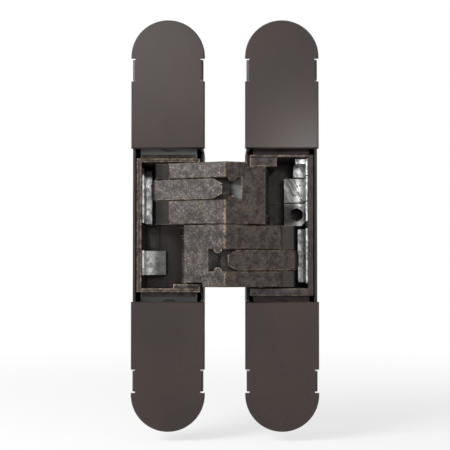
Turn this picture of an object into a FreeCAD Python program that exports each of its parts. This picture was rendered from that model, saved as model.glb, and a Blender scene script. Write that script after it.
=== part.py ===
import FreeCAD, Part
import os
import re
import Sketcher

# Concealed hinge for a door: two leaves let into door and frame, joined by two crossing forked arms.
# X runs across the leaves, Y into the wood, Z up along the hinge. Every piece is drawn with Y = 0 on the
# visible face of the covers and then shifted so that Y = 0 is the rear seat of the screw flanges.
# Leaf pieces are drawn about the leaf's own middle, arms and links about the middle of the hinge.
# Door side pieces are the frame side forms given a half turn about Y.

SIZES = (
    # leaf and covers
    ("leaf_length", 134.0, "height of a leaf"),
    ("leaf_width", 24.0, "width of a leaf"),
    ("leaf_gap", 13.1, "space between the two leaves when open"),
    ("cover_overhang", 0.25, "inner edge of a cover past the end of the well"),
    ("cover_sheet", 1.1, "thickness of a cover's sheet"),
    ("cover_bevel", 0.4, "bevel of a cover's front edge"),
    ("tab_short", 1.07, "clip tab short of the end of the straight side"),
    ("tab_length", 6.5, "length of a clip tab"),
    ("tab_sheet", 0.9, "thickness of a clip tab"),
    ("tab_drop", 3.4, "depth of a clip tab below the face"),
    ("tab_bend", 0.8, "rounding of a clip tab's bend"),
    ("slit_width", 0.55, "relief slit at each end of a clip tab"),
    ("tab_notch_past", 1.4, "notch of the case for a clip tab past the slits"),
    # case
    ("case_inset", 0.5, "case side inside the cover's edge"),
    ("case_wall", 0.8, "side wall of the well"),
    ("case_floor", 1.3, "floor of the well"),
    ("case_end_wall", 1.3, "end wall of the well"),
    ("case_corner", 1.0, "rounded corners of the body behind the flanges"),
    ("case_bevel", 0.6, "bevel of that body's back"),
    ("flange_thickness", 5.0, "screw flange"),
    ("inner_wall_depth", 6.2, "top of the well's inner wall, below the face"),
    ("inner_wall_end", 0.9, "full height part of that wall at each end of the well"),
    ("screw_end", 7.0, "outer fixing screw, from the leaf's end"),
    ("screw_land", 1.6, "flat between the lug channel and the inner countersink"),
    ("screw_hole_radius", 2.3, "fixing screw hole"),
    ("screw_sink", 2.1, "countersink of a fixing screw hole"),
    ("screw_sink_angle", 45.0, "slope of that countersink"),
    # pivot box
    ("box_gap", 0.3, "box side to case wall"),
    ("box_top", 1.5, "front edge of the box, below the face"),
    ("box_bevel", 0.2, "bevel of the box's front edges"),
    ("box_outer_wall", 1.7, "outer wall of the box"),
    ("box_inner_wall", 1.4, "low inner lip of the box"),
    ("lip_gap", 1.4, "top of that lip behind the arm hub"),
    ("box_floor", 1.3, "floor of the box"),
    ("pocket_depth", 22.4, "pocket floor, below the face"),
    ("pocket_gap", 0.5, "end of the pocket to the arm"),
    ("frame_end_wall", 2.5, "link end wall of the frame side box"),
    ("frame_boss_wall", 0.8, "boss end wall of the frame side box"),
    ("door_end_wall", 1.3, "end walls of the door side box"),
    ("boss_width", 8.75, "width of the boss that holds the arm pivot"),
    ("boss_top", 1.9, "front of that boss, below the face"),
    ("web_low", 0.4, "near face of the middle web"),
    ("web_thickness", 3.0, "middle web that carries the inner pin ends"),
    ("web_radius", 3.1, "eye of the middle web"),
    ("web_skin", 0.4, "metal between the two blind pin holes of the web"),
    ("lug_width", 18.6, "clamp lug at each end of the box"),
    ("lug_depth", 5.0, "front of a lug, below the face"),
    ("lug_thickness", 4.2, "thickness of a lug"),
    ("lug_recess", 1.3, "depth of the slot in a lug for the screw's head"),
    ("lug_recess_gap", 0.4, "screw head to that slot"),
    ("lug_rim", 1.0, "lug past that slot"),
    ("lug_side_gap", 0.4, "lug side to its channel"),
    ("clamp_offset", 4.5, "clamp screw past the end wall of the well"),
    ("clamp_radius", 1.9, "shank of a clamp screw"),
    ("clamp_head_radius", 3.3, "head of a clamp screw"),
    ("clamp_head_height", 2.2, "height of that head"),
    ("clamp_key_radius", 1.7, "six sided key recess in that head, to its corners"),
    ("clamp_key_depth", 1.3, "depth of the key recess"),
    ("clamp_tail", 2.5, "length of a clamp screw in the case"),
    ("clamp_slot_gap", 0.4, "clamp shank to its slot"),
    ("height_travel", 3.0, "height adjustment each way"),
    ("side_travel", 1.0, "side adjustment each way"),
    ("rest_gap", 0.3, "space left at the end of a travel"),
    # pivots of the linkage
    ("pivot_inset", 4.95, "arm pivot, from the leaf's inner edge"),
    ("pivot_depth", 10.5, "arm pivot, below the face"),
    ("centre_cover", 3.0, "crossing pin behind the ridge"),
    ("tip_margin", 11.05, "fork tip pin, from the outer edge of the leaf that it folds into"),
    ("tip_depth", 3.5, "fork tip pin, below the face"),
    ("anchor_inset", 5.35, "link pin in the box, from the leaf's inner edge"),
    ("anchor_depth", 8.9, "link pin in the box, below the face"),
    ("eye_shift_across", 0.07, "link eye inwards of its pin when open"),
    ("eye_shift_depth", 0.32, "link eye in front of its pin when open"),
    ("eye_clearance", 0.42, "free play of the link eye on its pin"),
    ("pin_radius", 1.5, "pivot and link pins"),
    ("centre_pin_radius", 1.75, "crossing pin"),
    ("fixed_fit", 0.02, "radial clearance of a pin that is held"),
    ("running_fit", 0.04, "radial clearance of a pin that turns"),
    # arms
    ("arm_height", 20.1, "top of an arm, from the middle"),
    ("arm_bevel", 0.3, "bevel of an arm's front edges"),
    ("ridge_rise", 6.0, "ridge of an arm, in front of the face"),
    ("ridge_round", 1.0, "rounding of the ridge"),
    ("leg_outside", 1.7, "outer side of an arm's leg, from its pivot"),
    ("leg_inside", 2.6, "inner side of an arm's leg, from its pivot"),
    ("shoulder_rise", 2.0, "outer shoulder, in front of the face"),
    ("elbow_depth", 4.2, "underside of the elbow, below the face"),
    ("belly_depth", 1.2, "underside of the arm at the crossing pin"),
    ("prong_short", 1.2, "end of a prong's flat face short of the tip pin"),
    ("prong_end_depth", 0.5, "that end's depth below the face"),
    ("prong_belly", 4.4, "underside of a prong at that end"),
    ("tip_radius", 3.6, "rounded prong tip"),
    ("tip_flat", 1.3, "flat front of that tip, below the face"),
    ("hub_radius", 3.1, "arm hub"),
    ("hub_step", 1.4, "far end of the hub, from the arm's top"),
    ("hub_notch", 4.3, "near side of the notch over the hub, from the pivot"),
    ("web_clearance", 2.4, "arm to the eye of the middle web"),
    ("boss_clearance", 0.45, "arm to the corner of the pivot boss"),
    ("slot_low", 7.9, "near wall of the fork slot"),
    ("outer_prong", 5.1, "height of the outer prong"),
    ("slot_open_end", 6.8, "where the fork slot opens right through"),
    ("slot_inner_end", 5.2, "closed end of the slot, past the ridge"),
    ("slot_floor", 0.6, "floor of the closed part of the slot"),
    ("ramp_start", 1.4, "where that floor starts to rise, past the ridge"),
    ("ramp_rise", 3.2, "front of the risen floor at the slot's end"),
    ("ear_across", 2.3, "half round ears in the slot"),
    ("ear_radius", 1.3, "radius of an ear"),
    ("centre_pin_cover", 0.7, "end of the crossing pin short of the slot"),
    ("tip_pin_margin", 0.5, "fork tip pin short of the arm's sides"),
    # links
    ("link_side_gap", 0.2, "link to the slot walls"),
    ("link_bevel", 0.2, "bevel of a link's front edges"),
    ("link_inner_end", 0.9, "inner end of a link's face"),
    ("link_face_past", 3.45, "outer end of a link's face past the tip pin"),
    ("link_nose_past", 4.8, "outermost point of a link past the tip pin"),
    ("link_nose_drop", 1.7, "fall of the nose"),
    ("link_nose_depth", 5.6, "lower corner of the nose"),
    ("link_nose_round", 1.6, "rounded corners of the nose across the bar"),
    ("link_nose_step_run", 0.4, "middle of that rounding, from the nose's end"),
    ("link_nose_step_fall", 0.53, "middle of that rounding, from the bar's side"),
    ("link_sunk", 0.1, "link face behind the prong faces"),
    ("link_bar_under", 1.1, "underside of the bar, in front of the face"),
    ("link_bar_start", 7.3, "where the bar leaves the triangular part"),
    ("link_neck", 2.83, "inner side of the triangular part, from the eye"),
    ("link_neck_depth", 4.0, "upper end of that side, below the face"),
    ("link_tip_radius", 3.9, "link round the fork tip pin"),
    ("link_eye_radius", 3.3, "link round its box pin"),
    ("link_corner_run", 2.9, "bevelled inner corners along the bar"),
    ("link_corner_fall", 1.7, "bevelled inner corners across the bar"),
    # washers
    ("washer_thickness", 0.2, "washer between the arms"),
    ("washer_radius", 2.7, "washer between the arms, outside"),
    ("washer_play", 0.05, "play beside that washer"),
    ("thrust_thickness", 0.5, "thrust washer"),
    ("thrust_radius", 2.9, "thrust washer, outside"),
    ("thrust_play", 0.05, "play beside a thrust washer"),
    # adjuster pieces
    ("adjuster_gap", 0.05, "adjuster to the pocket wall"),
    ("angle_width", 4.4, "width of the angle's foot"),
    ("angle_leg", 0.6, "thickness of the angle's leg along the outer wall"),
    ("angle_front", 3.2, "front of that leg, below the face"),
    ("angle_shelf", 2.4, "width of the angle's shelf"),
    ("angle_shelf_depth", 13.4, "front of that shelf, below the face"),
    ("angle_foot", 18.6, "front of the foot, below the face"),
    ("angle_low", 0.9, "near end of the angle"),
    ("angle_short", 1.8, "far end of the angle, from the end of the pocket"),
    ("strip_thickness", 1.5, "strip that joins the adjuster's pads"),
    ("pad_width", 7.1, "width of the square pad and of the key boss"),
    ("pad_height", 8.1, "height of the square pad"),
    ("pad_spacing", 0.4, "space between the pads"),
    ("pad_front", 13.4, "front of the square pad, below the face"),
    ("key_boss_front", 12.7, "front of the key boss, below the face"),
    ("key_boss_low", 0.3, "near side of the key boss"),
    ("key_boss_height", 7.5, "height of the key boss"),
    ("key_boss_corner", 1.2, "bevelled lower corner of the key boss"),
    ("key_from_wall", 2.85, "key hole, from the outer edge of the boss"),
    ("key_radius", 2.2, "key hole"),
    ("end_pad_width", 4.0, "width of the end pad"),
    ("end_pad_short", 0.3, "far side of the end pad, from the end of the pocket"),
    ("end_pad_step", 4.5, "front of the end pad's upper step, below the face"),
    ("end_pad_clear", 0.4, "that step past the arm's top"),
)

doc = FreeCAD.newDocument("concealed_hinge")
sheet = doc.addObject("Spreadsheet::Sheet", "Sheet")
for row, (alias, size, meaning) in enumerate(SIZES, start=1):
    sheet.set(f"A{row}", meaning)
    sheet.set(f"B{row}", str(size))
    sheet.setAlias(f"B{row}", alias)
doc.recompute()

# Heights of the arms and what they run between.
ARM_LOW = "(washer_thickness/2+washer_play)"
SLOT_HIGH = "(arm_height-outer_prong)"
WEB_HIGH = "(web_low+web_thickness)"
THRUST_ROOM = "(thrust_thickness+2*thrust_play)"
HUB_LOW = f"({WEB_HIGH}+{THRUST_ROOM})"
HUB_HIGH = "(arm_height-hub_step)"
BOSS_FACE = f"({HUB_HIGH}+{THRUST_ROOM})"
POCKET_HALF = "(arm_height+pocket_gap)"
FRAME_BOX_HALF = f"({POCKET_HALF}+frame_end_wall)"
FRAME_BOSS_END = f"({FRAME_BOX_HALF}-frame_boss_wall)"
DOOR_BOX_HALF = f"({POCKET_HALF}+door_end_wall)"
PIVOT_HOLE_END = "(web_low+web_thickness/2+web_skin/2)"
ANCHOR_HOLE_END = "(web_low+web_thickness/2-web_skin/2)"
CENTRE_PIN_HALF = "(slot_low-centre_pin_cover)"
TIP_PIN_SPAN = (f"({ARM_LOW}+tip_pin_margin)", "(arm_height-tip_pin_margin)")
LINK_LOW = "(slot_low+link_side_gap)"
LINK_HIGH = f"({SLOT_HIGH}-link_side_gap)"
# Case and box, from the leaf's own middle and from the face of the covers.
SEAT = "(cover_sheet+flange_thickness)"
CASE_HALF = "(leaf_width/2-case_inset)"
END_CENTRE = "(leaf_length/2-leaf_width/2)"
TAB_END = f"({END_CENTRE}-tab_short)"
TAB_START = f"({TAB_END}-tab_length)"
WELL_HALF = f"({DOOR_BOX_HALF}+height_travel+rest_gap)"
WELL_SIDE = f"({CASE_HALF}-case_wall)"
COVER_EDGE = f"({WELL_HALF}-cover_overhang)"
BOX_SIDE = f"({WELL_SIDE}-box_gap)"
BOX_BACK = "(pocket_depth+box_floor)"
WELL_DEPTH = f"({BOX_BACK}+side_travel+rest_gap)"
LIP_DEPTH = "(pivot_depth+hub_radius+lip_gap)"
CLAMP_PLACE = f"({WELL_HALF}+case_end_wall+clamp_offset)"
SLOT_HALF_WIDTH = "(clamp_radius+clamp_slot_gap)"
RECESS_RADIUS = "(clamp_head_radius+lug_recess_gap)"
RECESS_FLOOR = "(lug_depth+lug_recess)"
LUG_BACK = "(lug_depth+lug_thickness)"
LUG_REACH = f"({CLAMP_PLACE}+height_travel+{RECESS_RADIUS}+lug_rim)"
CHANNEL_BACK = f"({LUG_BACK}+side_travel+rest_gap)"
CHANNEL_HALF = "(lug_width/2+lug_side_gap)"
CHANNEL_END = f"({LUG_REACH}+height_travel+rest_gap)"
CLAMP_BACK = f"({CHANNEL_BACK}+clamp_tail)"
SCREW_NEAR = f"({CHANNEL_END}+screw_land+screw_hole_radius+screw_sink)"
SCREW_FAR = "(leaf_length/2-screw_end)"
POCKET_IN = f"({BOX_SIDE}-box_inner_wall)"
POCKET_OUT = f"({BOX_SIDE}-box_outer_wall)"
BOSS_EDGE = f"(boss_width-{BOX_SIDE})"
PIVOT_X = "(pivot_inset-leaf_width/2)"
ANCHOR_X = "(anchor_inset-leaf_width/2)"
ADJUSTER_WALL = f"({POCKET_OUT}-adjuster_gap)"
ANGLE_EDGE = f"({ADJUSTER_WALL}-angle_width)"
ANGLE_SHELF = f"({ADJUSTER_WALL}-angle_shelf)"
LEG_FACE = f"({ADJUSTER_WALL}-angle_leg)"
PAD_EDGE = f"({ADJUSTER_WALL}-pad_width)"
KEY_BOSS_HIGH = "(key_boss_low+key_boss_height)"
PAD_LOW = f"({KEY_BOSS_HIGH}+pad_spacing)"
PAD_HIGH = f"({PAD_LOW}+pad_height)"
END_PAD_EDGE = f"({ADJUSTER_WALL}-end_pad_width)"
END_PAD_LOW = f"({PAD_HIGH}+pad_spacing)"
END_PAD_HIGH = f"({FRAME_BOSS_END}-end_pad_short)"
ANGLE_HIGH = f"({POCKET_HALF}-angle_short)"
# Arms and links, from the middle of the hinge.
LEAF_PITCH = "(leaf_gap+leaf_width)"
HALF_PITCH = f"({LEAF_PITCH}/2)"
PIVOT_ACROSS = "(leaf_gap/2+pivot_inset)"
TIP_ACROSS = "(leaf_gap/2+leaf_width-tip_margin)"
CENTRE_RISE = "(ridge_rise-centre_cover)"
LEG_OUT = f"({PIVOT_ACROSS}+leg_outside)"
LEG_IN = f"({PIVOT_ACROSS}-leg_inside)"
HUB_NOTCH = f"({PIVOT_ACROSS}-hub_notch)"
PRONG_END = f"({TIP_ACROSS}-prong_short)"
TIP_END = f"({TIP_ACROSS}+tip_radius)"
WEB_SWEEP = "(web_radius+web_clearance)"
BOSS_SWEEP = f"(sqrt(({BOSS_EDGE}-{PIVOT_X})^2+(pivot_depth-boss_top)^2)+boss_clearance)"
EYE_X = "(leaf_gap/2+anchor_inset-eye_shift_across)"
EYE_Y = "(anchor_depth-eye_shift_depth)"
LINK_FACE_END = f"({TIP_ACROSS}+link_face_past)"
LINK_NOSE = f"({TIP_ACROSS}+link_nose_past)"
LINK_NECK = f"({EYE_X}-link_neck)"
PRONG_SLOPE = f"((ridge_rise+prong_end_depth)/{PRONG_END})"
LEG_SLOPE = f"((ridge_rise-shoulder_rise)/{LEG_OUT})"
# How far a cut runs past the metal, and how near to a place an edge has to lie to be on it.
PAST = "1"
NEAR = 1e-4
RIDGE_NEAR = 0.08
HALF_TURN = 180


def bound(words):
    """Spreadsheet expression for a formula in the sheet's own words; functions keep their names."""
    return re.sub(r"\b[a-z][a-z_]*\b(?!\()", lambda found: "Sheet." + found[0], words)


def value(words):
    """Number that a formula gives now."""
    return float(sheet.evalExpression(bound(words)))


def new_body(label, across="0", turned=False):
    """Empty piece, placed across the hinge and given a half turn about Y where it is on the door side."""
    body = doc.addObject("PartDesign::Body", label)
    body.Label = label
    turn = FreeCAD.Rotation(FreeCAD.Vector(0, 1, 0), HALF_TURN if turned else 0)
    body.Placement = FreeCAD.Placement(FreeCAD.Vector(0, 0, 0), turn)
    body.setExpression("Placement.Base.x", bound(across))
    body.setExpression("Placement.Base.y", bound(f"-{SEAT}"))
    return body


def new_sketch(body, role, offset):
    """Sketch on one of the body's own planes, moved along the plane's normal."""
    plane = next(item for item in body.Origin.OriginFeatures if item.Role == role)
    sketch = body.newObject("Sketcher::SketchObject", "Sketch")
    sketch.AttachmentSupport = [(plane, "")]
    sketch.MapMode = "FlatFace"
    sketch.setExpression("AttachmentOffset.Base.z", bound(offset))
    return sketch


def fix_point(sketch, curve, end, place):
    """Tie a point of the sketch to two formulas."""
    for kind, words in zip(("DistanceX", "DistanceY"), place):
        rule = Sketcher.Constraint(kind, -1, 1, curve, end, value(words))
        number = sketch.addConstraint(rule)
        sketch.setExpression(f"Constraints[{number}]", bound(words))


def draw_polygon(sketch, places):
    """Closed outline of straight lines through the given places."""
    points = [FreeCAD.Vector(value(x), value(y), 0) for x, y in places]
    following = points[1:] + points[:1]
    lines = [Part.LineSegment(a, b) for a, b in zip(points, following)]
    numbers = sketch.addGeometry(lines)
    for number, after in zip(numbers, numbers[1:] + numbers[:1]):
        sketch.addConstraint(Sketcher.Constraint("Coincident", number, 2, after, 1))
    for number, place in zip(numbers, places):
        fix_point(sketch, number, 1, place)


def draw_circle(sketch, place, radius):
    """Circle about a place."""
    centre = FreeCAD.Vector(value(place[0]), value(place[1]), 0)
    number = sketch.addGeometry(Part.Circle(centre, FreeCAD.Vector(0, 0, 1), value(radius)))
    fix_point(sketch, number, 3, place)
    rule = sketch.addConstraint(Sketcher.Constraint("Radius", number, value(radius)))
    sketch.setExpression(f"Constraints[{rule}]", bound(radius))


def rectangle(left, right, low, high):
    """Corners of a rectangle."""
    return [(left, low), (right, low), (right, high), (left, high)]


def hexagon(radius, up):
    """Corners of a regular hexagon above the origin, given to its corners."""
    side = f"({radius})*sqrt(3)/2"
    half = f"({radius})/2"
    return [
        (radius, up),
        (half, f"({up})+{side}"),
        (f"-{half}", f"({up})+{side}"),
        (f"-({radius})", up),
        (f"-{half}", f"({up})-{side}"),
        (half, f"({up})-{side}"),
    ]


def draw(sketch, outline):
    """A circle is (place, radius); anything else is a list of corners."""
    if isinstance(outline, tuple):
        draw_circle(sketch, *outline)
    else:
        draw_polygon(sketch, outline)


def extrude(kind, body, sketch, low, high):
    """Pad or pocket of the sketch over the span from low to high."""
    feature = body.newObject(kind, kind.split("::")[1])
    feature.Profile = sketch
    feature.setExpression("Length", bound(f"({high})-({low})"))
    return feature


def level_pad(body, outline, low, high):
    """Metal over an outline in X and Y, from Z = low to Z = high."""
    sketch = new_sketch(body, "XY_Plane", low)
    draw(sketch, outline)
    return extrude("PartDesign::Pad", body, sketch, low, high)


def level_cut(body, outline, low, high):
    """Cut over an outline in X and Y, from Z = low to Z = high."""
    sketch = new_sketch(body, "XY_Plane", high)
    draw(sketch, outline)
    return extrude("PartDesign::Pocket", body, sketch, low, high)


def front_pad(body, outline, front, back):
    """Metal over an outline in X and Z, from Y = front to Y = back."""
    sketch = new_sketch(body, "XZ_Plane", f"-({back})")
    draw(sketch, outline)
    return extrude("PartDesign::Pad", body, sketch, front, back)


def front_cut(body, outline, front, back):
    """Cut over an outline in X and Z, from Y = front to Y = back."""
    sketch = new_sketch(body, "XZ_Plane", f"-({front})")
    draw(sketch, outline)
    return extrude("PartDesign::Pocket", body, sketch, front, back)


def dress_edges(kind, body, size, wanted):
    """Round or bevel the edges of the form so far that the test picks."""
    doc.recompute()
    base = body.Tip
    names = [f"Edge{i}" for i, edge in enumerate(base.Shape.Edges, start=1) if wanted(edge)]
    feature = body.newObject(kind, kind.split("::")[1])
    feature.Base = (base, names)
    feature.setExpression("Radius" if kind.endswith("Fillet") else "Size", bound(size))
    return feature


def lies_at(edge, axis, place):
    """Whether every point of the edge has the given coordinate."""
    low = getattr(edge.BoundBox, axis + "Min")
    high = getattr(edge.BoundBox, axis + "Max")
    return abs(low - place) < NEAR and abs(high - place) < NEAR


def lies_on(edge, depth_at, tolerance):
    """Whether the edge's ends and middle lie on a front surface that is given as depth over X."""
    places = [edge.valueAt(edge.FirstParameter), edge.valueAt(edge.LastParameter), edge.CenterOfMass]
    return all(abs(place.y - depth_at(place.x)) < tolerance for place in places)


def both_ways(words):
    """A formula and its negative, for features that repeat at both ends."""
    return (words, f"-({words})")


def span_at(sign, low, high):
    """Span from low to high on the positive or the negative side."""
    return (low, high) if sign > 0 else (f"-({high})", f"-({low})")


def make_case(label, across, turned):
    """Cast case: a deep well for the pivot box between two screw flanges."""
    body = new_body(label, across, turned)
    well_end = f"({WELL_HALF}+case_end_wall)"
    case_back = f"({WELL_DEPTH}+case_floor)"
    well = rectangle(f"-{CASE_HALF}", CASE_HALF, f"-{well_end}", well_end)
    front_pad(body, well, "cover_sheet", case_back)
    back = value(case_back)

    def body_corner(edge):
        return edge.BoundBox.XLength < NEAR and edge.BoundBox.ZLength < NEAR

    def back_rim(edge):
        return lies_at(edge, "Y", back)

    dress_edges("PartDesign::Fillet", body, "case_corner", body_corner)
    dress_edges("PartDesign::Chamfer", body, "case_bevel", back_rim)
    flange = rectangle(f"-{CASE_HALF}", CASE_HALF, f"-{END_CENTRE}", END_CENTRE)
    front_pad(body, flange, "cover_sheet", SEAT)
    for end in both_ways(END_CENTRE):
        front_pad(body, (("0", end), CASE_HALF), "cover_sheet", SEAT)
    for place in (SCREW_NEAR, SCREW_FAR):
        for up in both_ways(place):
            front_cut(body, (("0", up), "screw_hole_radius"), "cover_sheet", SEAT)
            mouth = (("0", up), "screw_hole_radius+screw_sink")
            countersink = front_cut(body, mouth, "cover_sheet", "cover_sheet+screw_sink")
            countersink.setExpression("TaperAngle", bound("-screw_sink_angle"))
    block_half = f"({CHANNEL_HALF}+case_end_wall)"
    block_end = f"({CHANNEL_END}+case_end_wall)"
    for sign in ("", "-"):
        block = [
            (f"-{block_half}", f"{sign}{WELL_HALF}"),
            (block_half, f"{sign}{WELL_HALF}"),
            (block_half, f"{sign}({block_end}-case_corner)"),
            (f"{block_half}-case_corner", f"{sign}{block_end}"),
            (f"case_corner-{block_half}", f"{sign}{block_end}"),
            (f"-{block_half}", f"{sign}({block_end}-case_corner)"),
        ]
        front_pad(body, block, "cover_sheet+screw_sink", CLAMP_BACK)
    hollow = rectangle(f"-{WELL_SIDE}", WELL_SIDE, f"-{WELL_HALF}", WELL_HALF)
    front_cut(body, hollow, "cover_sheet", WELL_DEPTH)
    channel = rectangle(f"-{CHANNEL_HALF}", CHANNEL_HALF, f"-{CHANNEL_END}", CHANNEL_END)
    front_cut(body, channel, "cover_sheet", CHANNEL_BACK)
    low_half = f"({WELL_HALF}-inner_wall_end)"
    low_wall = rectangle(f"-{CASE_HALF}-{PAST}", f"-{WELL_SIDE}", f"-{low_half}", low_half)
    front_cut(body, low_wall, "cover_sheet", "inner_wall_depth")
    notch_in = f"{CASE_HALF}-tab_sheet-case_inset"
    notch_low = f"{TAB_START}-slit_width-tab_notch_past"
    notch_high = f"{TAB_END}+slit_width+tab_notch_past"
    for across_sign in (1, -1):
        for up_sign in (1, -1):
            sides = span_at(across_sign, notch_in, f"{CASE_HALF}+{PAST}")
            ends = span_at(up_sign, notch_low, notch_high)
            front_cut(body, rectangle(*sides, *ends), "cover_sheet", SEAT)
    for up in both_ways(CLAMP_PLACE):
        front_cut(body, (("0", up), "clamp_radius+fixed_fit"), CHANNEL_BACK, CLAMP_BACK)
    return body


def make_cover(label, across, turned):
    """Clip-on cover: a flat sheet with a round end and one bent tab on each long side."""
    body = new_body(label, across, turned)
    half = "leaf_width/2"
    front_pad(body, rectangle(f"-{half}", half, COVER_EDGE, END_CENTRE), "0", "cover_sheet")
    front_pad(body, (("0", END_CENTRE), half), "0", "cover_sheet")

    def front_rim(edge):
        return lies_at(edge, "Y", 0)

    dress_edges("PartDesign::Chamfer", body, "cover_bevel", front_rim)
    tab_in = f"{CASE_HALF}-tab_sheet"
    for sign in (1, -1):
        slit_sides = span_at(sign, tab_in, f"{half}+{PAST}")
        near_slit = rectangle(*slit_sides, f"{TAB_START}-slit_width", TAB_START)
        far_slit = rectangle(*slit_sides, TAB_END, f"{TAB_END}+slit_width")
        front_cut(body, near_slit, "0", "cover_sheet")
        front_cut(body, far_slit, "0", "cover_sheet")
        rim_sides = span_at(sign, CASE_HALF, f"{half}+{PAST}")
        front_cut(body, rectangle(*rim_sides, TAB_START, TAB_END), "0", "cover_sheet")
        tab_sides = span_at(sign, tab_in, CASE_HALF)
        front_pad(body, rectangle(*tab_sides, TAB_START, TAB_END), "cover_sheet/2", "tab_drop")
    bend = value(CASE_HALF)

    def bend_edge(edge):
        return lies_at(edge, "Y", 0) and (lies_at(edge, "X", bend) or lies_at(edge, "X", -bend))

    dress_edges("PartDesign::Fillet", body, "tab_bend", bend_edge)
    return body


def make_box(label, across, turned, half, boss_end):
    """Cast pivot box: open pocket with a pivot boss at one end, a middle web and a clamp lug at each end."""
    body = new_body(label, across, turned)
    block = rectangle(f"-{BOX_SIDE}", BOX_SIDE, f"-{half}", half)
    front_pad(body, block, "box_top", BOX_BACK)
    pocket = rectangle(f"-{BOX_SIDE}-{PAST}", POCKET_OUT, f"-{POCKET_HALF}", boss_end)
    front_cut(body, pocket, "box_top", LIP_DEPTH)
    front = value("box_top")

    def front_rim(edge):
        return lies_at(edge, "Y", front)

    dress_edges("PartDesign::Chamfer", body, "box_bevel", front_rim)
    pocket_floor = rectangle(f"-{POCKET_IN}", POCKET_OUT, f"-{POCKET_HALF}", boss_end)
    front_cut(body, pocket_floor, LIP_DEPTH, "pocket_depth")
    boss = rectangle(f"-{BOX_SIDE}", BOSS_EDGE, BOSS_FACE, f"({boss_end}+{half})/2")
    front_pad(body, boss, "boss_top", "pocket_depth+box_floor/2")
    foot_sides = (f"{PIVOT_X}-web_radius", f"{PIVOT_X}+web_radius")
    foot = rectangle(*foot_sides, "pivot_depth", "pocket_depth+box_floor/2")
    level_pad(body, foot, "web_low", WEB_HIGH)
    level_pad(body, ((PIVOT_X, "pivot_depth"), "web_radius"), "web_low", WEB_HIGH)
    level_pad(body, ((ANCHOR_X, "anchor_depth"), "web_radius"), "web_low", WEB_HIGH)
    for sign, pocket_end in ((1, boss_end), (-1, POCKET_HALF)):
        reach = span_at(sign, f"({pocket_end}+{half})/2", LUG_REACH)
        front_pad(body, rectangle("-lug_width/2", "lug_width/2", *reach), "lug_depth", LUG_BACK)
        ends = span_at(sign, f"{CLAMP_PLACE}-height_travel", f"{CLAMP_PLACE}+height_travel")
        steps = ((RECESS_RADIUS, "lug_depth", RECESS_FLOOR), (SLOT_HALF_WIDTH, RECESS_FLOOR, LUG_BACK))
        for slot_half, slot_front, slot_back in steps:
            front_cut(body, rectangle(f"-{slot_half}", slot_half, *ends), slot_front, slot_back)
            for end in ends:
                front_cut(body, (("0", end), slot_half), slot_front, slot_back)
    hole = "pin_radius+fixed_fit"
    level_cut(body, ((PIVOT_X, "pivot_depth"), hole), PIVOT_HOLE_END, f"{half}+{PAST}")
    level_cut(body, ((ANCHOR_X, "anchor_depth"), hole), f"-{half}-{PAST}", ANCHOR_HOLE_END)
    return body


def roof(across):
    """Depth of the prong faces at a distance from the ridge, towards the fork tips."""
    return f"(({across})*{PRONG_SLOPE}-ridge_rise)"


def leg_roof(across):
    """Depth of the face over the leg at a distance from the ridge."""
    return f"(({across})*{LEG_SLOPE}-ridge_rise)"


def cut_fork_slot(body):
    """Slot of the fork: open between the prongs, closed past the ridge with a floor that rises to its end."""
    open_slot = rectangle(f"-{TIP_END}-{PAST}", "-slot_open_end", "slot_low", SLOT_HIGH)
    front_cut(body, open_slot, f"-ridge_rise-{PAST}", "tip_depth+tip_radius")
    closed_slot = [
        ("-slot_open_end", f"-ridge_rise-{PAST}"),
        ("slot_inner_end", f"-ridge_rise-{PAST}"),
        ("slot_inner_end", "-ramp_rise"),
        ("ramp_start", "-slot_floor"),
        ("-slot_open_end", "-slot_floor"),
    ]
    level_cut(body, closed_slot, "slot_low", SLOT_HIGH)


def add_slot_ears(body):
    """Half round ears on both walls of the closed slot, flush with the face over the leg."""
    for wall in ("slot_low", SLOT_HIGH):
        front_pad(body, (("ear_across", wall), "ear_radius"), "-ridge_rise", "-slot_floor/2")
    near = "(ear_across-ear_radius)"
    far = "(ear_across+ear_radius)"
    above_face = [
        (near, leg_roof(near)),
        (far, leg_roof(far)),
        (far, f"-ridge_rise-{PAST}"),
        (near, f"-ridge_rise-{PAST}"),
    ]
    level_cut(body, above_face, "slot_low-ear_radius", f"{SLOT_HIGH}+ear_radius")


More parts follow.
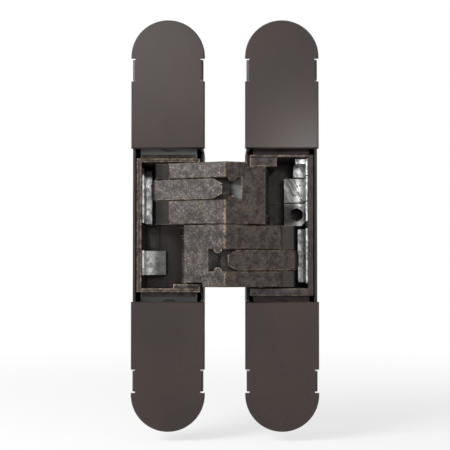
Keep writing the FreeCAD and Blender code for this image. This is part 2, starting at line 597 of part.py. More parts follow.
def make_arm(label, turned):
    """Forked arm: hub in its own leaf, ridge over the crossing pin, two prongs in the other leaf."""
    body = new_body(label, f"-{HALF_PITCH}", turned)
    section = [
        ("0", "-ridge_rise"),
        (LEG_OUT, "-shoulder_rise"),
        (LEG_OUT, "pivot_depth"),
        (LEG_IN, "pivot_depth"),
        (LEG_IN, "elbow_depth"),
        ("0", "belly_depth"),
        (f"-{PRONG_END}", "prong_belly"),
        (f"-{PRONG_END}", "prong_end_depth"),
    ]
    pivot = (PIVOT_ACROSS, "pivot_depth")
    tip = (f"-{TIP_ACROSS}", "tip_depth")
    level_pad(body, section, ARM_LOW, "arm_height")
    level_pad(body, (pivot, "hub_radius"), ARM_LOW, "arm_height")
    level_pad(body, (tip, "tip_radius"), ARM_LOW, "arm_height")
    ridge = value("ridge_rise")
    ridge_width = value("ridge_round")
    prong_slope = value(PRONG_SLOPE)
    leg_slope = value(LEG_SLOPE)

    def ridge_line(edge):
        return lies_at(edge, "X", 0) and lies_at(edge, "Y", -ridge)

    def front_depth(across):
        return across * leg_slope - ridge if across > 0 else -across * prong_slope - ridge

    def front_rim(edge):
        along_ridge = edge.BoundBox.XLength < NEAR and abs(edge.BoundBox.XMax) < ridge_width
        return lies_on(edge, front_depth, RIDGE_NEAR) and not along_ridge

    dress_edges("PartDesign::Fillet", body, "ridge_round", ridge_line)
    above_tips = [
        (f"-{TIP_END}-{PAST}", "tip_flat"),
        (f"-{PRONG_END}", "tip_flat"),
        (f"-{PRONG_END}", "prong_end_depth"),
        ("-slot_open_end", roof("slot_open_end")),
        ("-slot_open_end", f"-ridge_rise-{PAST}"),
        (f"-{TIP_END}-{PAST}", f"-ridge_rise-{PAST}"),
    ]
    level_cut(body, above_tips, ARM_LOW, "arm_height")
    cut_fork_slot(body)
    over_hub = rectangle(HUB_NOTCH, f"{LEG_OUT}+{PAST}", f"-ridge_rise-{PAST}", "pivot_depth")
    level_cut(body, over_hub, HUB_HIGH, "arm_height")
    dress_edges("PartDesign::Chamfer", body, "arm_bevel", front_rim)
    add_slot_ears(body)
    level_cut(body, (pivot, WEB_SWEEP), f"{ARM_LOW}-{PAST}", HUB_LOW)
    level_cut(body, (pivot, BOSS_SWEEP), HUB_HIGH, f"arm_height+{PAST}")
    level_cut(body, (pivot, "pin_radius+running_fit"), HUB_LOW, HUB_HIGH)
    fit = "running_fit" if turned else "fixed_fit"
    crossing_hole = (("0", f"-{CENTRE_RISE}"), f"centre_pin_radius+{fit}")
    level_cut(body, crossing_hole, f"{ARM_LOW}-{PAST}", CENTRE_PIN_HALF)
    level_cut(body, (tip, "pin_radius+fixed_fit"), *TIP_PIN_SPAN)
    return body


def make_link(label, turned):
    """Link: a triangular plate on the fork tip pin and the box pin, with a bar that fills the fork slot."""
    body = new_body(label, f"-{HALF_PITCH}", turned)
    outer_face = f"{roof(LINK_FACE_END)}+link_sunk"
    eye = (f"-{EYE_X}", EYE_Y)
    section = [
        ("-link_inner_end", f"{roof('link_inner_end')}+link_sunk"),
        (f"-{LINK_FACE_END}", outer_face),
        (f"-{LINK_NOSE}", f"{outer_face}+link_nose_drop"),
        (f"-{LINK_NOSE}", "link_nose_depth"),
        (f"-{TIP_ACROSS}", "tip_depth+link_tip_radius"),
        (f"-{EYE_X}", f"{EYE_Y}+link_eye_radius"),
        (f"-{LINK_NECK}", EYE_Y),
        (f"-{LINK_NECK}", "link_neck_depth"),
        ("-link_bar_start", "-link_bar_under"),
        ("-link_inner_end", "-link_bar_under"),
    ]
    level_pad(body, section, LINK_LOW, LINK_HIGH)
    level_pad(body, (eye, "link_eye_radius"), LINK_LOW, LINK_HIGH)
    for edge, inward in ((LINK_LOW, "+"), (LINK_HIGH, "-")):
        inner_corner = [
            ("-link_inner_end", edge),
            ("-link_inner_end", f"{edge}{inward}link_corner_fall"),
            ("-link_inner_end-link_corner_run", edge),
        ]
        front_cut(body, inner_corner, f"-ridge_rise-{PAST}", "-link_bar_under")
        nose_corner = [
            (f"-{LINK_NOSE}", edge),
            (f"-{LINK_NOSE}", f"{edge}{inward}link_nose_round"),
            (f"-{LINK_NOSE}+link_nose_step_run", f"{edge}{inward}link_nose_step_fall"),
            (f"-{LINK_FACE_END}", edge),
        ]
        front_cut(body, nose_corner, f"-ridge_rise-{PAST}", "tip_depth+link_tip_radius")
    ridge = value("ridge_rise")
    slope = value(PRONG_SLOPE)
    sunk = value("link_sunk")

    def face_depth(across):
        return -across * slope - ridge + sunk

    def face_rim(edge):
        return lies_on(edge, face_depth, NEAR)

    dress_edges("PartDesign::Chamfer", body, "link_bevel", face_rim)
    level_cut(body, ((f"-{TIP_ACROSS}", "tip_depth"), "pin_radius+running_fit"), LINK_LOW, LINK_HIGH)
    level_cut(body, (eye, "pin_radius+eye_clearance"), LINK_LOW, LINK_HIGH)
    return body


def make_pin(label, across, turned, place, radius, low, high):
    """Plain round pin along Z."""
    body = new_body(label, across, turned)
    level_pad(body, (place, radius), low, high)
    return body


def make_washer(label, across, turned, place, outside, inside, low, high):
    """Flat ring along Z."""
    body = new_body(label, across, turned)
    level_pad(body, (place, outside), low, high)
    level_cut(body, (place, inside), low, high)
    return body


def make_clamp_screw(label, across, up, head_gap):
    """Cheese head screw through a lug's slot into the case, with a six sided key recess."""
    body = new_body(label, across)
    head_back = f"{RECESS_FLOOR}-{head_gap}"
    head_front = f"{head_back}-clamp_head_height"
    front_pad(body, (("0", up), "clamp_head_radius"), head_front, head_back)
    front_pad(body, (("0", up), "clamp_radius"), head_back, CLAMP_BACK)
    front_cut(body, hexagon("clamp_key_radius", up), head_front, f"{head_front}+clamp_key_depth")
    return body


def add_pad(body, edge, low, high, front):
    """Pad on the pocket's floor against the outer wall, with a thin leg up that wall."""
    front_pad(body, rectangle(edge, ADJUSTER_WALL, low, high), front, "pocket_depth")
    front_pad(body, rectangle(LEG_FACE, ADJUSTER_WALL, low, high), "angle_front", front)


def start_adjuster(label, across, turned, top):
    """Angle along the pocket's outer wall and the strip that carries the square pad."""
    body = new_body(label, across, turned)
    section = [
        (ADJUSTER_WALL, "angle_front"),
        (ADJUSTER_WALL, "pocket_depth"),
        (ANGLE_EDGE, "pocket_depth"),
        (ANGLE_EDGE, "angle_foot"),
        (ANGLE_SHELF, "angle_shelf_depth"),
        (LEG_FACE, "angle_shelf_depth"),
        (LEG_FACE, "angle_front"),
    ]
    level_pad(body, section, f"-{ANGLE_HIGH}", "-angle_low")
    strip = rectangle(ANGLE_EDGE, ADJUSTER_WALL, f"-{ANGLE_HIGH}", top)
    front_pad(body, strip, "pocket_depth-strip_thickness", "pocket_depth")
    add_pad(body, PAD_EDGE, PAD_LOW, PAD_HIGH, "pad_front")
    return body


def make_frame_adjuster(label, across, turned):
    """Adjuster of the frame side: angle, key boss with its hole, square pad and stepped end pad."""
    body = start_adjuster(label, across, turned, END_PAD_HIGH)
    corner_end = "key_boss_low+key_boss_corner"
    add_pad(body, PAD_EDGE, corner_end, KEY_BOSS_HIGH, "key_boss_front")
    below = [
        (PAD_EDGE, "key_boss_low"),
        (f"{ADJUSTER_WALL}-key_boss_corner", "key_boss_low"),
        (ADJUSTER_WALL, corner_end),
        (PAD_EDGE, corner_end),
    ]
    front_pad(body, below, "key_boss_front", "pocket_depth")
    add_pad(body, END_PAD_EDGE, END_PAD_LOW, END_PAD_HIGH, "key_boss_front")
    step = rectangle(END_PAD_EDGE, ADJUSTER_WALL, "arm_height+end_pad_clear", END_PAD_HIGH)
    front_pad(body, step, "end_pad_step", "key_boss_front")
    hole = ((f"{ADJUSTER_WALL}-key_from_wall", "key_boss_low+key_boss_height/2"), "key_radius")
    front_cut(body, hole, "key_boss_front", "pocket_depth")
    return body


def make_box_set(side, across, turned, half, boss_end):
    """Pivot box of one leaf with its two pins and the thrust washers beside the arm hub."""
    pivot = (PIVOT_X, "pivot_depth")
    anchor = (ANCHOR_X, "anchor_depth")
    inside = "pin_radius+running_fit"
    place = (across, turned)
    inner_span = (f"{WEB_HIGH}+thrust_play", f"{HUB_LOW}-thrust_play")
    outer_span = (f"{HUB_HIGH}+thrust_play", f"{BOSS_FACE}-thrust_play")
    return [
        make_box(f"{side}_box", *place, half, boss_end),
        make_pin(f"{side}_pivot_pin", *place, pivot, "pin_radius", PIVOT_HOLE_END, half),
        make_pin(f"{side}_link_pin", *place, anchor, "pin_radius", f"-{half}", ANCHOR_HOLE_END),
        make_washer(f"{side}_inner_thrust_washer", *place, pivot, "thrust_radius", inside, *inner_span),
        make_washer(f"{side}_outer_thrust_washer", *place, pivot, "thrust_radius", inside, *outer_span),
    ]


def make_leaf_set(side, across, turned, head_gap):
    """Case of one leaf with its two covers and the two clamp screws of its box."""
    return [
        make_case(f"{side}_case", across, turned),
        make_cover(f"{side}_upper_cover", across, False),
        make_cover(f"{side}_lower_cover", across, True),
        make_clamp_screw(f"{side}_upper_clamp_screw", across, CLAMP_PLACE, head_gap),
        make_clamp_screw(f"{side}_lower_clamp_screw", across, f"-{CLAMP_PLACE}", head_gap),
    ]


def make_arm_set(name, turned):
    """Forked arm with its link and the pin through the fork tips."""
    across = f"-{HALF_PITCH}"
    tip = (f"-{TIP_ACROSS}", "tip_depth")
    return [
        make_arm(f"{name}_arm", turned),
        make_link(f"{name}_link", turned),
        make_pin(f"{name}_tip_pin", across, turned, tip, "pin_radius", *TIP_PIN_SPAN),
    ]


def make_crossing():
    """Pin and washer where the two arms cross."""
    place = (f"-{HALF_PITCH}", False, ("0", f"-{CENTRE_RISE}"))
    bore = "centre_pin_radius+running_fit"
    half_washer = "washer_thickness/2"
    return [
        make_pin("centre_pin", *place, "centre_pin_radius", f"-{CENTRE_PIN_HALF}", CENTRE_PIN_HALF),
        make_washer("centre_washer", *place, "washer_radius", bore, f"-{half_washer}", half_washer),
    ]


FRAME_SIDE = ("0", False)
DOOR_SIDE = (f"-{LEAF_PITCH}", True)
pieces = []
pieces += make_leaf_set("frame", *FRAME_SIDE, "(side_travel+rest_gap)")
pieces += make_box_set("frame", *FRAME_SIDE, FRAME_BOX_HALF, FRAME_BOSS_END)
pieces.append(make_frame_adjuster("frame_adjuster", *FRAME_SIDE))
pieces += make_leaf_set("door", *DOOR_SIDE, "rest_gap")
pieces += make_box_set("door", *DOOR_SIDE, DOOR_BOX_HALF, POCKET_HALF)
pieces.append(start_adjuster("door_adjuster", *DOOR_SIDE, PAD_HIGH))
pieces += make_arm_set("upper", False)
pieces += make_arm_set("lower", True)
pieces += make_crossing()
doc.recompute()

for item in doc.Objects:
    if "Invalid" in item.State or "Error" in item.State:
        raise RuntimeError(f"{item.Name} of {item.getParentGeoFeatureGroup()} failed: {item.State}")
    if item.TypeId == "PartDesign::Pocket" and item.Shape.Volume >= item.BaseFeature.Shape.Volume:
        raise RuntimeError(f"{item.Name} cuts nothing")
os.makedirs("parts", exist_ok=True)
for piece in pieces:
    if piece.Shape.isNull() or not piece.Shape.isValid() or len(piece.Shape.Solids) != 1:
        raise RuntimeError(f"{piece.Label} is not one sound solid")
    piece.Shape.exportStep(f"parts/{piece.Label}.step")
print(len(pieces), "pieces written")
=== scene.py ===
"""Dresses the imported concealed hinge: a worked finish for every piece, a plain studio and the camera."""

import math

import bpy
from bpy.props import FloatProperty, FloatVectorProperty, PointerProperty
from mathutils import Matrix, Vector


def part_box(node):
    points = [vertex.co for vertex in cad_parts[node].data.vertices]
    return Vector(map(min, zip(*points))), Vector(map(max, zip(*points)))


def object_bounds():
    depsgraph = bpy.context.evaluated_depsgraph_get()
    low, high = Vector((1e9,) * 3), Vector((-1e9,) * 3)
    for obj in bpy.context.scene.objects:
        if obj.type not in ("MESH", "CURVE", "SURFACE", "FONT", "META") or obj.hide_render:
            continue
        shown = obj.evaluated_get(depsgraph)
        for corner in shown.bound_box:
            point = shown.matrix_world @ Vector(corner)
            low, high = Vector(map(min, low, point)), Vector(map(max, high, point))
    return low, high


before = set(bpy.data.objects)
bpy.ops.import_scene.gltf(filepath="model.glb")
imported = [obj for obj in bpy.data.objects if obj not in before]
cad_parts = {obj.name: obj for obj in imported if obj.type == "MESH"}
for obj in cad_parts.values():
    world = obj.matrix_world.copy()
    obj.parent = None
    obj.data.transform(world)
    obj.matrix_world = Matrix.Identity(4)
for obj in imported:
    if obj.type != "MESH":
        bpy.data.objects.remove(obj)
CAD_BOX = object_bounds()

bl_info = {
    "name": "Concealed hinge finishes",
    "version": (1, 0, 0),
    "blender": (4, 5, 0),
    "location": "3D View > Sidebar > Hinge",
    "description": "Gives the concealed hinge its antique bronze finishes, its studio and its camera",
    "category": "Object",
}

MILLIMETRE = 0.001
WHITE = (1.0, 1.0, 1.0, 1.0)

# Places on the hinge that the finishes follow. The middle of its height is at Z = 0.
RIDGE_X = (CAD_BOX[0].x + CAD_BOX[1].x) / 2
RIDGE_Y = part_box("upper_arm")[0].y
HALF_WIDTH = RIDGE_X - CAD_BOX[0].x
HALF_HEIGHT = -CAD_BOX[0].z
FACE_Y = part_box("frame_upper_cover")[0].y
KEY_BOSS_Z = 4.0 * MILLIMETRE
RIDGE_DEPTHS = (1.0 * MILLIMETRE, 0.6 * MILLIMETRE)
POCKET_DEPTHS = (6.0 * MILLIMETRE, 11.0 * MILLIMETRE)
# Heights between which the painted light on the adjusters goes from its foot share to its head share.
ZINC_LIGHT_HEIGHTS = (HALF_HEIGHT - 2.0 * MILLIMETRE, HALF_HEIGHT + 20.0 * MILLIMETRE)

# The rising floor in the upper arm's slot, from the ridge. The lower arm's is the same, turned half round,
# and there its grey is painted light.
RAMP_ACROSS = 4.5 * MILLIMETRE
RAMP_UP = 11.4 * MILLIMETRE
RAMP_Y = FACE_Y - 1.6 * MILLIMETRE
RAMP_REACH = (3.0 * MILLIMETRE, 2.7 * MILLIMETRE, 5.0 * MILLIMETRE)

# A reach that takes in the whole width and depth of an adjuster.
THROUGH = 100.0 * MILLIMETRE

# Part of a reach that is full. The rest of it fades.
FULL_SHARE = 0.4

# How much wear and painted shade there is, against the full amount or reach.
RIDGE_SHARE = 0.55
BOX_EDGE_SHARE = 1.3
CORNER_SHADE = 0.4
DEEP_SHADE = 0.93
SPOT_SHADE = 0.98

# Lengths over which one finish goes over into the next.
SHARP = 0.2 * MILLIMETRE
RIDGE_FADE = 0.6 * MILLIMETRE
WALL_FADE = 1.0 * MILLIMETRE
SHADE_FADE = 1.5 * MILLIMETRE
LUG_FADE = 2.0 * MILLIMETRE
TIP_FADE = 3.5 * MILLIMETRE
ZINC_FADE = 5.0 * MILLIMETRE

# How far past the reach from the ridge the painted shade on the tips starts to go black.
TIP_START = 0.5 * MILLIMETRE

# Sizes of the patterns that come from how a piece is made.
STEEL_MARK = 0.10 * MILLIMETRE
STEEL_MARK_DRAWN = 30.0
CAST_GRAIN = 0.5 * MILLIMETRE
FLOOR_FIBRE = 0.8 * MILLIMETRE
ZINC_PATCH = 1.6 * MILLIMETRE
ARM_STAIN = 3.4 * MILLIMETRE
BOX_STAIN = 4.0 * MILLIMETRE
CAST_CLOUD = 5.0 * MILLIMETRE

# Directions of the rubbing marks.
RISING_TURN = math.radians(58)
FALLING_TURN = math.radians(-35)
ZINC_TURN = math.radians(62)

# Values of the noise between which a pattern fades from none to full.
WIDE_FADE = (0.30, 0.70)
SOFT_FADE = (0.35, 0.65)
BLOTCH_FADE = (0.36, 0.64)
PATCH_FADE = (0.40, 0.62)
CAST_FADE = (0.42, 0.66)
BOX_SPECK_FADE = (0.36, 0.60)
BOX_STAIN_FADE = (0.50, 0.62)
ARM_SPECK_FADE = (0.34, 0.58)
ARM_STAIN_FADE = (0.56, 0.70)
ARM_SCRATCH_FADE = (0.57, 0.68)
ZINC_SCRATCH_FADE = (0.55, 0.72)
FLECK_FADE = (0.62, 0.72)

# How open a place is where wear on edges and painted shade in corners start, and where they are full.
EDGE_FADE = (0.97, 0.70)
CORNER_FADE = (0.85, 0.30)
OPENNESS_SAMPLES = 12

# Roughness of each finish, from its smoothest to its roughest spots.
COVER_ROUGHNESS = (0.42, 0.52)
CASE_ROUGHNESS = (0.48, 0.62)
BOX_ROUGHNESS = (0.36, 0.55)
ARM_ROUGHNESS = (0.40, 0.58)
ZINC_ROUGHNESS = (0.26, 0.46)
STEEL_ROUGHNESS = (0.25, 0.40)
WASHER_ROUGHNESS = (0.50, 0.66)
LACQUER_ROUGHNESS = 0.20
FLOOR_ROUGHNESS = 0.9

# Depth of the fine relief on each finish.
COVER_RELIEF = 0.012 * MILLIMETRE
CASE_RELIEF = 0.03 * MILLIMETRE
BOX_RELIEF = 0.02 * MILLIMETRE
ARM_RELIEF = 0.03 * MILLIMETRE
ZINC_RELIEF = 0.015 * MILLIMETRE
STEEL_RELIEF = 0.006 * MILLIMETRE
WASHER_RELIEF = 0.008 * MILLIMETRE

# Where the lamps stand, in metres from the middle of the covers' face, and how round the floor is.
KEY_PLACE = Vector((-0.28, -0.21, 0.20))
FILL_PLACE = Vector((0.0925, -0.594, 0.089))
SHEEN_PLACE = Vector((-0.085, -0.594, 0.215))
FLOOR_SIDES = 96

# Sockets of the Mix node that carry colours, and the spacing of the nodes in the editor.
MIX_FIRST = 6
MIX_SECOND = 7
MIX_RESULT = 2
NODE_SPACING = 240

COVERS = ("frame_upper_cover", "frame_lower_cover", "door_upper_cover", "door_lower_cover")
CASES = ("frame_case", "door_case")
LINKS = ("upper_link", "lower_link")
PINS = (
    "frame_pivot_pin", "door_pivot_pin", "frame_link_pin", "door_link_pin",
    "upper_tip_pin", "lower_tip_pin", "centre_pin",
)
CLAMP_SCREWS = (
    "frame_upper_clamp_screw", "frame_lower_clamp_screw",
    "door_upper_clamp_screw", "door_lower_clamp_screw",
)
WASHERS = (
    "centre_washer", "frame_inner_thrust_washer", "frame_outer_thrust_washer",
    "door_inner_thrust_washer", "door_outer_thrust_washer",
)


def colour(name, description, default):
    """A colour that a user would change."""
    return FloatVectorProperty(
        name=name, description=description, default=default,
        subtype="COLOR", size=3, min=0.0, max=1.0,
    )


def length(name, description, default):
    """A length in metres that a user would change."""
    return FloatProperty(
        name=name, description=description, default=default,
        unit="LENGTH", subtype="DISTANCE", min=0.0, precision=5,
    )


def share(name, description, default):
    """A share between nothing and all."""
    return FloatProperty(
        name=name, description=description, default=default,
        subtype="FACTOR", min=0.0, max=1.0,
    )


def angle(name, description, default):
    """An angle that a user would change."""
    return FloatProperty(
        name=name, description=description, default=default,
        unit="ROTATION", subtype="ANGLE",
    )


def power(name, description, default):
    """A lamp's power in watts."""
    return FloatProperty(
        name=name, description=description, default=default,
        unit="POWER", subtype="POWER", min=0.0,
    )


class HingeFinishes(bpy.types.PropertyGroup):
    """Colours of the hinge's coatings and metals and of the light and shade painted on them, and the sizes
    of their wear.
    """

    cover_brown: colour("Cover brown", "Satin coating of the covers", (0.0236, 0.0142, 0.0114))
    cover_grey: colour("Cover grey", "Greyer patches of the covers' coating", (0.0162, 0.0112, 0.0096))
    # Painted shade: the darker colour along the covers' rims stands in for the shade on their rounded edges.
    cover_rim_shade: colour("Cover rim", "Coating where it thins over the covers' rims", (0.018, 0.014, 0.012))
    case_black: colour("Case black", "Coating of the cast cases", (0.014, 0.012, 0.011))
    box_brown: colour("Box brown", "Antique bronze of the pivot boxes", (0.054, 0.042, 0.040))
    lug_grey: colour("Lug grey", "Plain grey of the door side box's clamp lugs", (0.155, 0.155, 0.158))
    # Painted shadow: the frame side box's lugs are coloured as lying in the covers' shadow.
    lug_shadow: colour("Lug dark", "Coating of the frame side box's clamp lugs", (0.045, 0.030, 0.028))
    arm_dark: colour("Arm dark", "Dark patches of the antique bronze", (0.0140, 0.0105, 0.0092))
    arm_grey: colour("Arm grey", "Rubbed patches left of the ridge", (0.0545, 0.0475, 0.0445))
    # The browner tone right of the ridge is partly a patina that differs by side and partly painted warm
    # reflected light.
    arm_brown: colour("Arm brown", "Rubbed patches right of the ridge", (0.067, 0.0525, 0.0470))
    arm_ochre: colour("Arm ochre", "Ochre stain in the antique bronze", (0.160, 0.095, 0.042))
    # Painted shade: the fork tips and the links' noses sit in the pockets' shade, and this near black stands
    # in for it.
    tip_shade: colour("Tip dark", "Coating of the fork tips and the links' noses", (0.0085, 0.0065, 0.0055))
    # On the lower arm this grey is painted light on the slot floor, which lies in shade.
    ramp_grey: colour("Ramp grey", "Bare grey of the rising floor in the slots", (0.118, 0.123, 0.123))
    worn_bronze: colour("Worn bronze", "Bare bronze on rubbed edges", (0.400, 0.300, 0.205))
    zinc: colour("Zinc", "Plating of the adjusters", (0.115, 0.114, 0.112))
    # Painted light: the lit copy of the zinc, laid beside the outer walls where light reaches into the
    # pocket. The plain zinc is its shaded copy.
    zinc_lit: colour("Bright zinc", "Plating rubbed bright at the outer walls", (0.800, 0.795, 0.790))
    zinc_dull: colour("Dull zinc", "Oxidised patches of the plating", (0.062, 0.061, 0.060))
    steel: colour("Steel", "Ground steel of pins and screws", (0.300, 0.294, 0.288))
    washer_grey: colour("Washer grey", "Bearing plastic of the washers", (0.045, 0.045, 0.047))
    # Painted shade: this dark colour stands in for the shade in corners, deep in the pockets and where the
    # arms cast shadow.
    shade: colour("Shade", "Dark grease in corners", (0.020, 0.018, 0.017))
    cover_lacquer: share("Cover lacquer", "Clear lacquer over the covers' coating", 0.26)
    edge_reach: length("Edge reach", "How far the wear reaches from an edge", 0.40 * MILLIMETRE)
    shade_reach: length("Grime reach", "How far grime reaches out of a corner", 2.5 * MILLIMETRE)
    # Painted shade deep in the pockets, and on the key boss and the strip's top where the arm's shadow
    # falls.
    shade_depth: length("Grime depth", "Depth in the pockets at which grime lies", 17.5 * MILLIMETRE)
    boss_across: length("Boss grime across", "Reach of grime across the key boss", 6.4 * MILLIMETRE)
    boss_up: length("Boss grime up", "Reach of grime up and down the key boss", 5.2 * MILLIMETRE)
    strip_down: length("Strip grime down", "Reach of grime down the door side strip", 3.4 * MILLIMETRE)
    ridge_wear: length("Ridge wear", "Half the width of the rubbed line on the ridge", 0.55 * MILLIMETRE)
    # Where the painted shade on the tips begins, from the ridge. The arms and links are rubbed only within
    # it.
    arm_shade_from: length("Arm rubbed", "How far the arms are rubbed, from the ridge", 18.3 * MILLIMETRE)
    link_shade_from: length("Link rubbed", "How far the links are rubbed, from the ridge", 22.9 * MILLIMETRE)
    box_rubbed: length("Box rubbed", "Height at which the boxes' lugs start", 23.4 * MILLIMETRE)
    # Past this reach from the ridge the frame side box is darker and its edges less worn.
    frame_dark_from: length("Frame rubbed", "How far the frame side box is rubbed", 26.4 * MILLIMETRE)
    # Where the painted light on the zinc starts, from the ridge.
    zinc_lit_from: length("Zinc rubbed", "Where the plating starts to be rubbed bright", 22.3 * MILLIMETRE)
    fleck_size: length("Fleck size", "Size of the sparse bright flecks in the bronze", 0.42 * MILLIMETRE)
    blotch_size: length("Blotch size", "Size of the patches in the bronze", 2.2 * MILLIMETRE)
    speckle_size: length("Speckle size", "Size of the specks in the bronze", 0.62 * MILLIMETRE)
    cloud_size: length("Cloud size", "Size of the slow changes in the covers' coating", 22.0 * MILLIMETRE)
    mottle_size: length("Mottle size", "Size of the faint mottle in the covers' coating", 0.55 * MILLIMETRE)
    grain_size: length("Grain size", "Size of the coating's fine grain", 0.16 * MILLIMETRE)
    scratch_length: length("Scratch length", "Length of the fine rubbing marks", 4.5 * MILLIMETRE)
    scratch_width: length("Scratch width", "Width of the fine rubbing marks", 0.20 * MILLIMETRE)


class HingeStudio(bpy.types.PropertyGroup):
    """Sizes of the floor, the lamps and the camera."""

    floor_radius: length("Floor radius", "Radius of the round floor", 3.0)
    floor_gap: length("Floor gap", "Room under the foot for the lowest door leaf", 3.3 * MILLIMETRE)
    floor_white: colour("Floor white", "Colour of the floor", (0.85, 0.85, 0.85))
    shadow_share: share("Shadow share", "How much of the floor's own light shows", 0.30)
    shadow_reach: length("Shadow reach", "Distance at which the floor fades to white", 0.35)
    sky_strength: share("Sky strength", "Light of the white surroundings", 0.30)
    key_power: power("Key power", "Power of the large lamp at the upper left", 2.2)
    key_size: length("Key size", "Side of the large lamp", 0.20)
    fill_power: power("Fill power", "Power of the weak lamp behind the camera", 0.33)
    fill_size: length("Fill size", "Side of the weak lamp", 0.06)
    sheen_power: power("Sheen power", "Power of the faint lamp that the left covers reflect", 0.22)
    sheen_size: length("Sheen size", "Side of the faint lamp", 0.12)
    view_distance: length("View distance", "Distance from the camera to the covers' face", 0.285)
    view_rise: angle("View rise", "How far the camera looks up at the hinge", math.radians(1.2))
    view_shift: share("View shift", "How far the picture is moved up, as a share of its width", 0.05)
    view_width: length("View width", "Width of the picture at the covers' face", 146.1 * MILLIMETRE)


class FinishTree:
    """A material's nodes, added with one call for each step."""

    def __init__(self, name):
        self.material = bpy.data.materials.new(name)
        self.material.use_nodes = True
        self.tree = self.material.node_tree
        self.shader = self.tree.nodes["Principled BSDF"]
        self.place = self.node("ShaderNodeTexCoord").outputs["Object"]

    def node(self, kind, **settings):
        """A new node with its own settings."""
        made = self.tree.nodes.new(kind)
        for name, setting in settings.items():
            setattr(made, name, setting)
        made.location = (-NODE_SPACING * len(self.tree.nodes), 0)
        return made

    def feed(self, socket, source):
        """A source, which is another node's output or a plain value, goes into a socket."""
        if isinstance(source, bpy.types.NodeSocket):
            self.tree.links.new(source, socket)
        else:
            socket.default_value = source

    def noise(self, size, detail=3.0, drawn=1.0, turn=0.0):
        """Cloudy noise of about this size in metres, drawn out along a line that is turned about Y."""
        mapping = self.node("ShaderNodeMapping", vector_type="TEXTURE")
        self.feed(mapping.inputs["Vector"], self.place)
        mapping.inputs["Rotation"].default_value = (0.0, turn, 0.0)
        mapping.inputs["Scale"].default_value = (size * drawn, size, size)
        noise = self.node("ShaderNodeTexNoise")
        self.feed(noise.inputs["Vector"], mapping.outputs["Vector"])
        noise.inputs["Scale"].default_value = 1.0
        noise.inputs["Detail"].default_value = detail
        return noise.outputs["Fac"]

    def patches(self, size, fade, detail=3.0):
        """Patches of about this size, which fade in between two values of the noise."""
        return self.spread(self.noise(size, detail), *fade)

    def scratches(self, finishes, turn):
        """Fine straight marks in one direction."""
        drawn = finishes.scratch_length / finishes.scratch_width
        return self.noise(finishes.scratch_width, 2.0, drawn, turn)

    def along(self, axis, start=0.0):
        """How far a point lies from start along an axis, on either side."""
        split = self.node("ShaderNodeSeparateXYZ")
        self.feed(split.inputs["Vector"], self.place)
        offset = self.node("ShaderNodeMath", operation="SUBTRACT")
        self.feed(offset.inputs[0], split.outputs[axis])
        offset.inputs[1].default_value = start
        either = self.node("ShaderNodeMath", operation="ABSOLUTE")
        self.feed(either.inputs[0], offset.outputs["Value"])
        return either.outputs["Value"]

    def spread(self, source, low, high, to_low=0.0, to_high=1.0):
        """The source's values from low to high, spread over another range and held there."""
        spread = self.node("ShaderNodeMapRange", clamp=True, interpolation_type="SMOOTHSTEP")
        self.feed(spread.inputs["Value"], source)
        spread.inputs["From Min"].default_value = low
        spread.inputs["From Max"].default_value = high
        spread.inputs["To Min"].default_value = to_low
        spread.inputs["To Max"].default_value = to_high
        return spread.outputs["Result"]

    def past(self, distance, start, fade):
        """None up to a start, and one from the length of a fade past it."""
        return self.spread(distance, start, start + fade)

    def between(self, factor, at_none, at_one):
        """One value where the factor is none, and another where it is one."""
        return self.spread(factor, 0.0, 1.0, at_none, at_one)

    def times(self, first, second):
        """The product of two sources."""
        product = self.node("ShaderNodeMath", operation="MULTIPLY", use_clamp=True)
        self.feed(product.inputs[0], first)
        self.feed(product.inputs[1], second)
        return product.outputs["Value"]

    def plus(self, first, second):
        """The sum of two sources, held at one."""
        total = self.node("ShaderNodeMath", operation="ADD", use_clamp=True)
        self.feed(total.inputs[0], first)
        self.feed(total.inputs[1], second)
        return total.outputs["Value"]

    def right_half(self):
        """None left of the arms' ridge, and one right of it."""
        from_left = self.along("X", CAD_BOX[0].x)
        return self.past(from_left, HALF_WIDTH - RIDGE_FADE / 2, RIDGE_FADE)

    def within(self, place, reach):
        """One about a place, and none past its reach along each axis."""
        inside = 1.0
        for axis, middle, far in zip("XYZ", place, reach):
            inside = self.times(inside, self.spread(self.along(axis, middle), far, FULL_SHARE * far))
        return inside

    def blend(self, factor, first, second, up_to=1.0):
        """The first colour where the factor is none, and up to a share of the second where it is one."""
        if up_to < 1.0:
            factor = self.times(factor, up_to)
        mixed = self.node("ShaderNodeMix", data_type="RGBA")
        self.feed(mixed.inputs["Factor"], factor)
        self.feed(mixed.inputs[MIX_FIRST], opaque(first))
        self.feed(mixed.inputs[MIX_SECOND], opaque(second))
        return mixed.outputs[MIX_RESULT]

    def edges(self, reach):
        """One along the piece's own outer edges, and none on its faces."""
        openness = self.node(
            "ShaderNodeAmbientOcclusion", inside=True, only_local=True, samples=OPENNESS_SAMPLES
        )
        openness.inputs["Distance"].default_value = reach
        return self.spread(openness.outputs["AO"], *EDGE_FADE)

    def corners(self, reach):
        """One deep in corners and pockets, and none in the open: the mask for painted shade."""
        openness = self.node("ShaderNodeAmbientOcclusion", samples=OPENNESS_SAMPLES)
        openness.inputs["Distance"].default_value = reach
        return self.spread(openness.outputs["AO"], *CORNER_FADE)

    def relief(self, height, depth):
        """Fine relief of this depth in metres on the surface."""
        bump = self.node("ShaderNodeBump")
        bump.inputs["Strength"].default_value = 1.0
        bump.inputs["Distance"].default_value = depth
        self.feed(bump.inputs["Height"], height)
        self.feed(self.shader.inputs["Normal"], bump.outputs["Normal"])

    def coat(self, base, roughness, metallic=0.0, specular=0.5):
        """Sets the shader's colour, gloss and metal."""
        self.feed(self.shader.inputs["Base Color"], opaque(base))
        self.feed(self.shader.inputs["Roughness"], roughness)
        self.feed(self.shader.inputs["Metallic"], metallic)
        self.shader.inputs["Specular IOR Level"].default_value = specular


